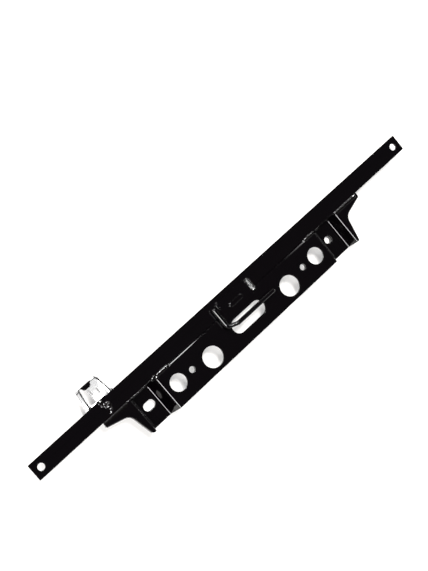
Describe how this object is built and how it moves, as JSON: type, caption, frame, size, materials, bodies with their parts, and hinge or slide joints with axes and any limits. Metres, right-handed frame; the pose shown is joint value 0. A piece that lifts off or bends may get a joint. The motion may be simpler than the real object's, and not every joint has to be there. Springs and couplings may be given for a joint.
{
  "type": "seat cushion bracket",
  "caption": "Black coated steel bracket for a seat cushion: flat cross bar with end holes, pressed support plate with two low feet, a hook and a loop clip.",
  "frame": {"origin": "on the top face of the cross bar, midway between its two end holes", "axes": "+X along the cross bar, away from the loop clip; +Y across the bar, towards the side that the loop clip stands out on; +Z out of the bar's top face, the side of the hook bracket"},
  "size_m": [0.7056, 0.1084, 0.0385],
  "materials": {
    "coated_strap": "gloss black electrocoat on rolled flat bar",
    "coated_sheet": "gloss black electrocoat on pressed sheet steel",
    "coated_nut": "gloss black electrocoat on a hexagon weld nut",
    "coated_hook": "gloss black electrocoat on thick pressed sheet",
    "coated_wire": "gloss black electrocoat on drawn round wire",
    "coated_clip": "gloss black electrocoat on thin folded sheet",
    "coated_weld": "gloss black electrocoat over rippled weld bead"
  },
  "bodies": {
    "root": {"cross_bar": "coated_strap", "support_bracket": "coated_sheet", "foot_weld_nut": "coated_nut", "hook_bracket": "coated_hook", "hook_wire": "coated_wire", "loop_clip": "coated_clip", "weld_left_flange": "coated_weld", "weld_left_corner": "coated_weld", "weld_right_corner": "coated_weld", "weld_right_flange": "coated_weld", "weld_hook_left": "coated_weld", "weld_hook_right": "coated_weld", "weld_hook_wire": "coated_weld", "weld_clip_legs": "coated_weld", "weld_clip_plug": "coated_weld"}
  },
  "joints": []
}
